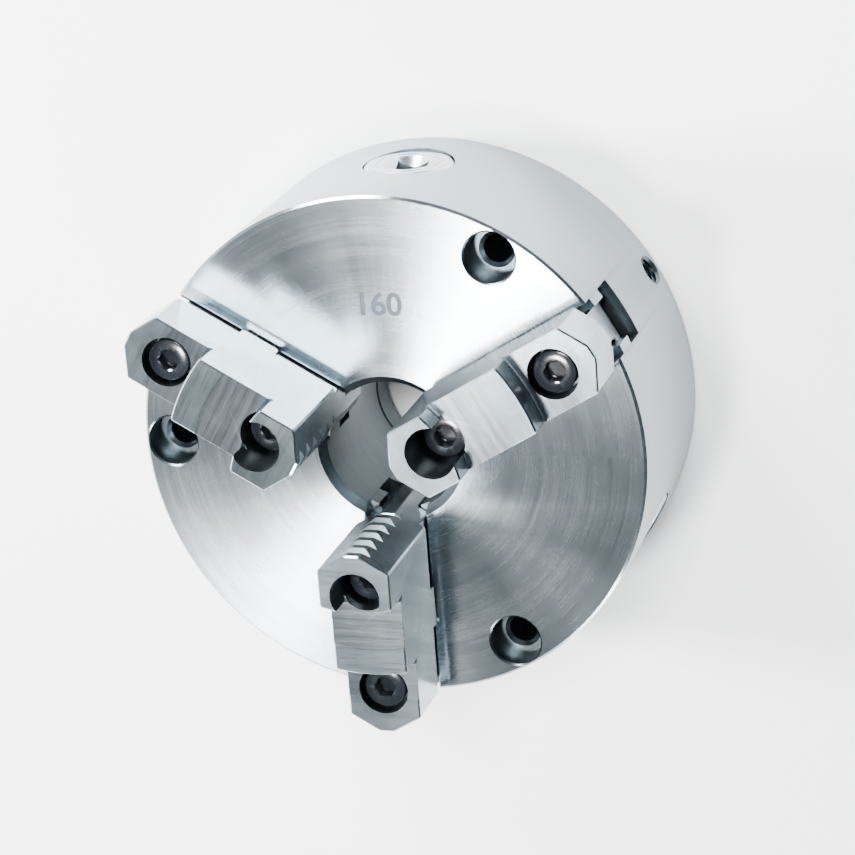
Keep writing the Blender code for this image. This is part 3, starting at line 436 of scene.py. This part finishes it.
def mark(angle):
    """Engraved figures on the face, upright for someone who looks in from the other side."""
    curve = bpy.data.curves.new("mark", "FONT")
    curve.body, curve.size, curve.extrude = MARK, MARK_SIZE, MARK_DEPTH * 2
    curve.align_x, curve.align_y = "CENTER", "CENTER"
    curve.resolution_u = 6
    curve.offset = MARK_SIZE * 0.02
    written = bpy.data.objects.new("mark", curve)
    bpy.context.scene.collection.objects.link(written)
    bpy.context.view_layer.update()
    mesh = bpy.data.meshes.new_from_object(written.evaluated_get(bpy.context.evaluated_depsgraph_get()))
    bpy.data.objects.remove(written)
    work = bmesh.new()
    work.from_mesh(mesh)
    bmesh.ops.remove_doubles(work, verts=work.verts, dist=1e-7)
    middle = (MARK_RADIUS * math.cos(angle), MARK_RADIUS * math.sin(angle), BODY_HEIGHT + MARK_DEPTH)
    turn = about_z(angle + math.pi * 3 / 2)
    bmesh.ops.transform(work, matrix=Matrix.Translation(middle) @ turn, verts=work.verts)
    return link("mark", mesh_from("mark", work), ETCHED)


def chuck_body():
    front, lip = BODY_HEIGHT, BODY_EDGE
    outside = [
        (BORE_RADIUS + BORE_CHAMFER, front),
        (BODY_RADIUS - lip, front),
        (BODY_RADIUS, front - lip),
        (BODY_RADIUS, lip),
        (BODY_RADIUS - lip, 0),
        (REGISTER_RADIUS + lip, 0),
        (REGISTER_RADIUS, lip),
        (REGISTER_RADIUS, CAVITY_BACK),
        (CAVITY_RADIUS, CAVITY_BACK),
        (CAVITY_RADIUS, CAVITY_FRONT),
        (HUB_RADIUS, CAVITY_FRONT),
        (HUB_RADIUS, REGISTER_DEPTH),
        (BORE_RADIUS + HOLE_CHAMFER, REGISTER_DEPTH),
        (BORE_RADIUS, REGISTER_DEPTH + HOLE_CHAMFER),
        (BORE_RADIUS, 13.6 * MM),
        (BORE_RADIUS + 0.35 * MM, 14 * MM),
        (BORE_RADIUS + 0.35 * MM, 15 * MM),
        (BORE_RADIUS, 15.4 * MM),
        (BORE_RADIUS, front - BORE_CHAMFER),
    ]
    made = turned("Body", outside, TURNED, BODY_STEPS)
    made.data.materials.append(RIM_PAINTED_SHADE)
    made.data.materials.append(BORED_PAINTED_SHADE)
    for face in made.data.polygons:
        middle = face.center
        reach = math.hypot(middle.x, middle.y)
        # Faces on the outside rim take the darker rim steel, which is painted shade.
        if reach > BODY_RADIUS - 2 * lip and middle.z < front - lip / 4:
            face.material_index = 1
        # Faces in the bore and the cavity take the dark bored steel, which is painted shade.
        elif reach < CAVITY_RADIUS + 2 * MM and middle.z < front - lip:
            face.material_index = 2
    cutters = [threaded_side_hole(JAW_ANGLES[0])]
    for jaw, pinion, mount in zip(JAW_ANGLES, PINION_ANGLES, MOUNT_ANGLES):
        cutters += [jaw_slot(jaw), mount_hole(mount)]
        low, high = CAVITY_RADIUS - PAST, BODY_RADIUS + PAST
        bore = prism("bore", 96, PINION_RADIUS + GAP, low, high, BORED_PAINTED_SHADE)
        cutters.append(place(bore, along_radius(pinion, PINION_HEIGHT)))
    cut(made, joined(cutters))
    small = []
    for jaw, pinion in zip(JAW_ANGLES, PINION_ANGLES):
        hole = prism("retainer_hole", 32, RETAINER_HOLE, -PAST, PINION_HEIGHT - PINION_RADIUS / 2, BORED_PAINTED_SHADE)
        small.append(place(hole, about_z(pinion) @ Matrix.Translation((PINION_GROOVE_AT, 0, 0))))
        hole = prism("cover_hole", 24, COVER_HOLE, CAVITY_BACK - PAST, 21 * MM, BORED_PAINTED_SHADE)
        small.append(place(hole, about_z(jaw) @ Matrix.Translation((COVER_CIRCLE, 0, 0))))
    cut(made, joined(small))
    cut(made, mark(PINION_ANGLES[0]))
    return finish(made, "chuck_body", "body")


# ---------------------------------------------------------------- top jaws
def pointed(inner, outer, both=True):
    run = (JAW_WIDTH - TIP_FLAT) / 2 / TIP_SLOPE
    half, tip = JAW_WIDTH / 2, TIP_FLAT / 2
    outline = [(inner, tip), (inner, -tip), (inner + run, -half)]
    if both:
        outline += [(outer - run, -half), (outer, -tip), (outer, tip), (outer - run, half)]
    else:
        outline += [(outer, -half), (outer, half)]
    return outline + [(inner + run, half)]


def arc_across(radius):
    spread = math.asin((JAW_WIDTH / 2 + PAST) / radius)
    turns = [spread * (2 * i / ARC_STEPS - 1) for i in range(ARC_STEPS + 1)]
    return [(radius * math.cos(t), radius * math.sin(t)) for t in turns]


def beyond_arc(radius, low, high, material, far=None):
    near, end = arc_across(radius), JAW_OUTER + PAST
    beyond = arc_across(far)[::-1] if far else [(end, near[-1][1]), (end, near[0][1])]
    return extruded("step", (near + beyond)[::-1], low, high, material)


def relief(radius, level, width=1.1 * MM, depth=1.1 * MM):
    lean, mouth = math.sqrt(0.5), PAST / 4
    ends = [(-depth, -width / 2), (mouth, -width / 2), (mouth, width / 2), (-depth, width / 2)]
    section = [(radius + lean * (a - b), level + lean * (a + b)) for a, b in ends]
    return turned("relief", section, CUT, 180)


def serration(level, lean=0.5 * MM, share=0.62):
    low = level - share * SERRATION_PITCH
    section = [
        (JAW_INNER - PAST, level),
        (JAW_INNER, level),
        (JAW_INNER + SERRATION_DEPTH, level - lean),
        (JAW_INNER, low),
        (JAW_INNER - PAST, low),
    ]
    return place(extruded("serration", section, -JAW_WIDTH / 2, JAW_WIDTH / 2, CUT), LAID_ACROSS)


def screw_seat(x, head_top):
    seat = head_top - HEAD_HEIGHT - GAP
    profile = [
        (0, JAW_TOP + PAST),
        (COUNTERBORE_RADIUS, JAW_TOP + PAST),
        (COUNTERBORE_RADIUS, seat),
        (SHANK_RADIUS + GAP, seat),
        (SHANK_RADIUS + GAP, CROSS_FLOOR - PAST),
        (0, CROSS_FLOOR - PAST),
    ]
    # The counterbore takes the dark bored steel: painted shade in the gap round the screw head.
    return place(turned("seat", profile, BORED_PAINTED_SHADE), Matrix.Translation((x, 0, 0)))


def top_jaw(index):
    made = extruded("TopJaw", pointed(JAW_INNER, JAW_OUTER), TOP_BASE, JAW_TOP, GROUND)
    above = JAW_TOP + PAST
    for level, radius in zip(STEP_LEVELS, STEP_RADII):
        cut(made, beyond_arc(radius, level, above, GROUND))
    chamfered(merged(made), CHAMFER)
    for level, radius, width in zip(STEP_LEVELS, STEP_RADII, SEAT_WIDTHS):
        cut(made, beyond_arc(radius, level - SEAT_DEPTH, level + 2 * MM, SEAT, radius + width))
        cut(made, relief(radius, level - SEAT_DEPTH))
    groove = TONGUE_WIDTH / 2 + GAP
    low = (JAW_INNER - PAST, -groove, TOP_BASE - PAST)
    high = (JAW_OUTER + PAST, groove, MASTER_TOP + TONGUE_HEIGHT + GAP)
    cut(made, box("groove", low, high, CUT))
    half, key = JAW_WIDTH / 2 - 0.4 * MM, CROSS_WIDTH / 2
    corner = 0.8 * MM
    low, high = CROSS_FLOOR + GAP, MASTER_TOP + TONGUE_HEIGHT + 0.8 * MM
    section = [
        (SCREW_MIDDLE - key + corner, low),
        (SCREW_MIDDLE + key - corner, low),
        (SCREW_MIDDLE + key, low + corner),
        (SCREW_MIDDLE + key, high),
        (SCREW_MIDDLE - key, high),
        (SCREW_MIDDLE - key, low + corner),
    ]
    combine(made, place(extruded("key", section, -half, half, GROUND), LAID_ACROSS), "UNION")
    for x, head_top in zip(SCREW_PLACES, HEAD_TOPS):
        cut(made, screw_seat(x, head_top))
    for notch in range(SERRATIONS):
        cut(made, serration(JAW_TOP - (notch + 0.5) * SERRATION_PITCH))
    made.name = f"TopJaw_{index + 1}"
    node, body, turn = f"top_jaw_{index + 1}", f"jaw_{index + 1}", about_z(JAW_ANGLES[index])
    return finish(made, node, body, turn, JAW_SHARP)


# ---------------------------------------------------------------- master jaws
def master_jaw(index):
    head, neck, flange = SLOT_MOUTH / 2 - GAP, RIB_GAP / 2 - 0.9 * MM, SLOT_FLANGE / 2 - 0.7 * MM
    root = SLOT_FLOOR + 4.5 * MM
    half = [
        (flange, root),
        (flange, RIB_BOTTOM - GAP),
        (neck, RIB_BOTTOM - GAP),
        (neck, RIB_TOP + GAP),
        (head, RIB_TOP + GAP),
        (head, MASTER_TOP),
        (TONGUE_WIDTH / 2, MASTER_TOP),
        (TONGUE_WIDTH / 2, MASTER_TOP + TONGUE_HEIGHT),
    ]
    made = extruded("MasterJaw", mirrored(half), MASTER_INNER - PAST, MASTER_OUTER + PAST, GROUND)
    bake(place(made, LAID_OUTWARD))
    plan = extruded("plan", pointed(MASTER_INNER, MASTER_OUTER, False), SLOT_FLOOR, JAW_TOP, GROUND)
    combine(made, plan, "INTERSECT")
    slot = CROSS_WIDTH / 2 + GAP
    low = (SCREW_MIDDLE - slot, -JAW_WIDTH, CROSS_FLOOR)
    high = (SCREW_MIDDLE + slot, JAW_WIDTH, JAW_TOP)
    cut(made, box("cross", low, high, MILLED))
    chamfered(merged(made), MASTER_CHAMFER)
    for x in SCREW_PLACES:
        hole = prism("hole", 48, SHANK_RADIUS + GAP, 55 * MM, JAW_TOP, BORED_PAINTED_SHADE)
        cut(made, place(hole, Matrix.Translation((x, 0, 0))))
    made.name = f"MasterJaw_{index + 1}"
    node, body, turn = f"master_jaw_{index + 1}", f"jaw_{index + 1}", about_z(JAW_ANGLES[index])
    return finish(made, node, body, turn, JAW_SHARP)


# ---------------------------------------------------------------- screws
def cap_screw(name, length):
    """A socket head cap screw with its head's top at the origin, threaded below the head."""
    edge, depth = 0.7 * MM, 0.6 * MM
    profile = [(0, 0)]
    profile += [(HEAD_RADIUS - edge, 0), (HEAD_RADIUS - 0.3 * edge, -0.3 * edge), (HEAD_RADIUS, -edge)]
    profile += [(HEAD_RADIUS, -HEAD_HEIGHT + 0.2 * MM), (HEAD_RADIUS - 0.2 * MM, -HEAD_HEIGHT)]
    profile += [(SHANK_RADIUS, -HEAD_HEIGHT)]
    height = -HEAD_HEIGHT - 8 * MM
    while height - SCREW_THREAD > -length:
        profile += [(SHANK_RADIUS, height), (SHANK_RADIUS - depth, height - 0.62 * MM)]
        height -= SCREW_THREAD
    profile += [(SHANK_RADIUS - depth, -length), (0, -length)]
    made = turned(name, profile, BLACK, SCREW_STEPS)
    corner = SCREW_KEY / 2 / math.cos(math.pi / 6)
    cut(made, prism("hex", 6, corner, -4 * MM, PAST, BLACK))
    cut(made, prism("lead", 48, SCREW_KEY / 2, -0.5 * MM, 0.5 * MM, BLACK, 0, 4 * MM))
    cut(made, prism("drill", 32, 0.4 * MM, -5.2 * MM, -3.99 * MM, BLACK, 0, 2.9 * MM))
    return made


def jaw_screws(index):
    for label, x, top in zip(("inner", "outer"), SCREW_PLACES, HEAD_TOPS):
        made = cap_screw(f"{label.title()}Screw_{index + 1}", top - MASTER_TOP + SCREW_GRIP)
        matrix = about_z(JAW_ANGLES[index]) @ Matrix.Translation((x, 0, top))
        finish(made, f"{label}_jaw_screw_{index + 1}", f"jaw_{index + 1}", matrix)


# ---------------------------------------------------------------- pinions
def key_pinion(index):
    """The round outer end is turned afresh; the teeth are the solid part's own shape."""
    r, end = PINION_RADIUS, PINION_END
    profile = [
        (0, end),
        (9.2 * MM, end),
        (9.5 * MM, end - 0.25 * MM),
        (10.1 * MM, end - 0.25 * MM),
        (10.4 * MM, end),
        (12.2 * MM, end),
        (12.4 * MM, end - 0.2 * MM),
        (r - 0.9 * MM, end - 0.2 * MM),
        (r, end - 1.1 * MM),
        (r, 74.5 * MM),
        (r - 2 * MM, 74.5 * MM),
        (r - 2 * MM, 69.5 * MM),
        (r, 69.5 * MM),
        (r, GEAR_OUTER),
        (10.7 * MM, GEAR_OUTER),
        (10.7 * MM, 56.3 * MM),
        (8.25 * MM, 43.5 * MM),
        (3.5 * MM, 43.5 * MM),
        (3.5 * MM, 31.7 * MM),
        (3.3 * MM, 31.5 * MM),
        (0, 31.5 * MM),
    ]
    made = turned("Pinion", profile, PINION, 96)
    grooves = []
    for tooth in range(PINION_TEETH):
        work = bmesh.new()
        bmesh.ops.create_cube(work, size=1)
        for vert in work.verts:
            at = GEAR_INNER if vert.co.x < 0 else GEAR_OUTER
            outer = vert.co.z > 0
            wide = (2.88 if outer else 1.26) * at / 56
            level = (11.83 if outer else 7.63) * at / 56
            vert.co = (at, wide if vert.co.y > 0 else -wide, level)
        bar = link("groove", mesh_from("groove", work), PINION)
        turn = about_z((tooth + 0.5) * 2 * math.pi / PINION_TEETH) @ Matrix.Rotation(-math.pi / 2, 4, "Y")
        grooves.append(place(bar, turn))
    cut(made, joined(grooves))
    base = end - 13 * MM
    cut(made, prism("socket", 4, KEY_SOCKET / math.sqrt(2), base, end + PAST, CUT, math.radians(45)))
    flare = [(0, end + PAST), (7.9 * MM + PAST, end + PAST), (5 * MM, end - 2.9 * MM), (0, end - 2.9 * MM)]
    cut(made, turned("countersink", flare, PINION))
    made.name = f"KeyPinion_{index + 1}"
    matrix = along_radius(PINION_ANGLES[index], PINION_HEIGHT)
    return finish(made, f"key_pinion_{index + 1}", f"pinion_{index + 1}", matrix)


# ------------------------------------------------------- pieces that keep the solid part's shape
def dress(node, material):
    mesh = frame["nodes"][node].data
    mesh.materials.clear()
    mesh.materials.append(material)


# ---------------------------------------------------------------- studio
def light(name, place_at, target, power, wide, high):
    lamp = bpy.data.lights.new(name, "AREA")
    lamp.energy, lamp.shape, lamp.size, lamp.size_y = power, "RECTANGLE", wide, high
    made = bpy.data.objects.new(name, lamp)
    bpy.context.scene.collection.objects.link(made)
    way = (Vector(target) - Vector(place_at)).normalized()
    made.matrix_world = Matrix.Translation(place_at) @ way.to_track_quat("-Z", "Y").to_matrix().to_4x4()
    return made


def floor():
    work = bmesh.new()
    bmesh.ops.create_circle(work, cap_ends=True, radius=6, segments=96)
    bmesh.ops.translate(work, verts=work.verts, vec=(0, 0, -0.2 * MM))
    made = bpy.data.materials.new("pale_floor")
    made.use_nodes = True
    nodes = Nodes(made.node_tree)
    place_at = nodes.add("ShaderNodeTexCoord").outputs["Object"]
    tone = nodes.noise(place_at, 6, 3.0)
    shader = made.node_tree.nodes["Principled BSDF"]
    colour = nodes.mix(tone, (0.86, 0.87, 0.88), (0.90, 0.90, 0.90))
    made.node_tree.links.new(colour, shader.inputs["Base Color"])
    shader.inputs["Roughness"].default_value = 0.75
    link("Floor", mesh_from("Floor", work), made)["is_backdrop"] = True


def world():
    """A dim studio, so that the steel reflects the soft lights against something darker."""
    made = bpy.data.worlds.new("studio")
    bpy.context.scene.world = made
    made.use_nodes = True
    tree = made.node_tree
    nodes = Nodes(tree)
    way = nodes.add("ShaderNodeTexCoord").outputs["Generated"]
    x, y, z = nodes.add("ShaderNodeSeparateXYZ", {0: way}).outputs[:3]
    tone = nodes.spread(nodes.math("ADD", nodes.math("MULTIPLY", y, -0.7), z), -0.2, 1.0, 0.0, 1.0)
    background = tree.nodes["Background"]
    tree.links.new(nodes.mix(tone, (0.03, 0.045, 0.055), (0.08, 0.11, 0.13)), background.inputs["Color"])
    background.inputs["Strength"].default_value = 1.0


def camera():
    right, up = Vector((-0.95264, 0.07345, -0.29511)), Vector((0.03506, -0.9374, -0.34648))
    back = Vector((-0.30208, -0.34042, 0.89043))
    lens = bpy.data.cameras.new("view")
    lens.sensor_width, lens.lens = 36, 133.13
    lens.clip_start, lens.clip_end = 0.01, 50
    made = bpy.data.objects.new("view", lens)
    bpy.context.scene.collection.objects.link(made)
    turn = Matrix((right, up, back)).transposed().to_4x4()
    made.matrix_world = Matrix.Translation((-0.30081, -0.33243, 0.91588)) @ turn
    bpy.context.scene.camera = made


chuck_body()
dress("scroll_plate", SCROLL)
dress("rear_cover", COVER)
for number in range(3):
    top_jaw(number)
    master_jaw(number)
    jaw_screws(number)
    key_pinion(number)
    dress(f"pinion_retainer_{number + 1}", BLACK)
    dress(f"cover_screw_{number + 1}", BLACK)
floor()
world()
camera()
light("key", (0.24, 0.18, 1.6), (0, 0, 0.06), 38, 0.20, 0.20)
light("behind", (-0.16, -0.64, 1.5), (0, 0, 0.06), 44, 0.45, 0.3)
light("left", (1.35, -0.10, 0.75), (0, 0, 0.05), 95, 0.30, 0.30)
light("low", (-0.50, 1.05, 0.25), (-0.05, 0.13, 0), 30, 0.4, 0.14)
light("top", (0.45, -0.85, 0.35), (0.12, -0.18, 0), 40, 0.4, 0.2)

sizes = {"cad": cad_bounds, "looks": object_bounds()}
sizes = {name: [list(map(float, corner)) for corner in box] for name, box in sizes.items()}
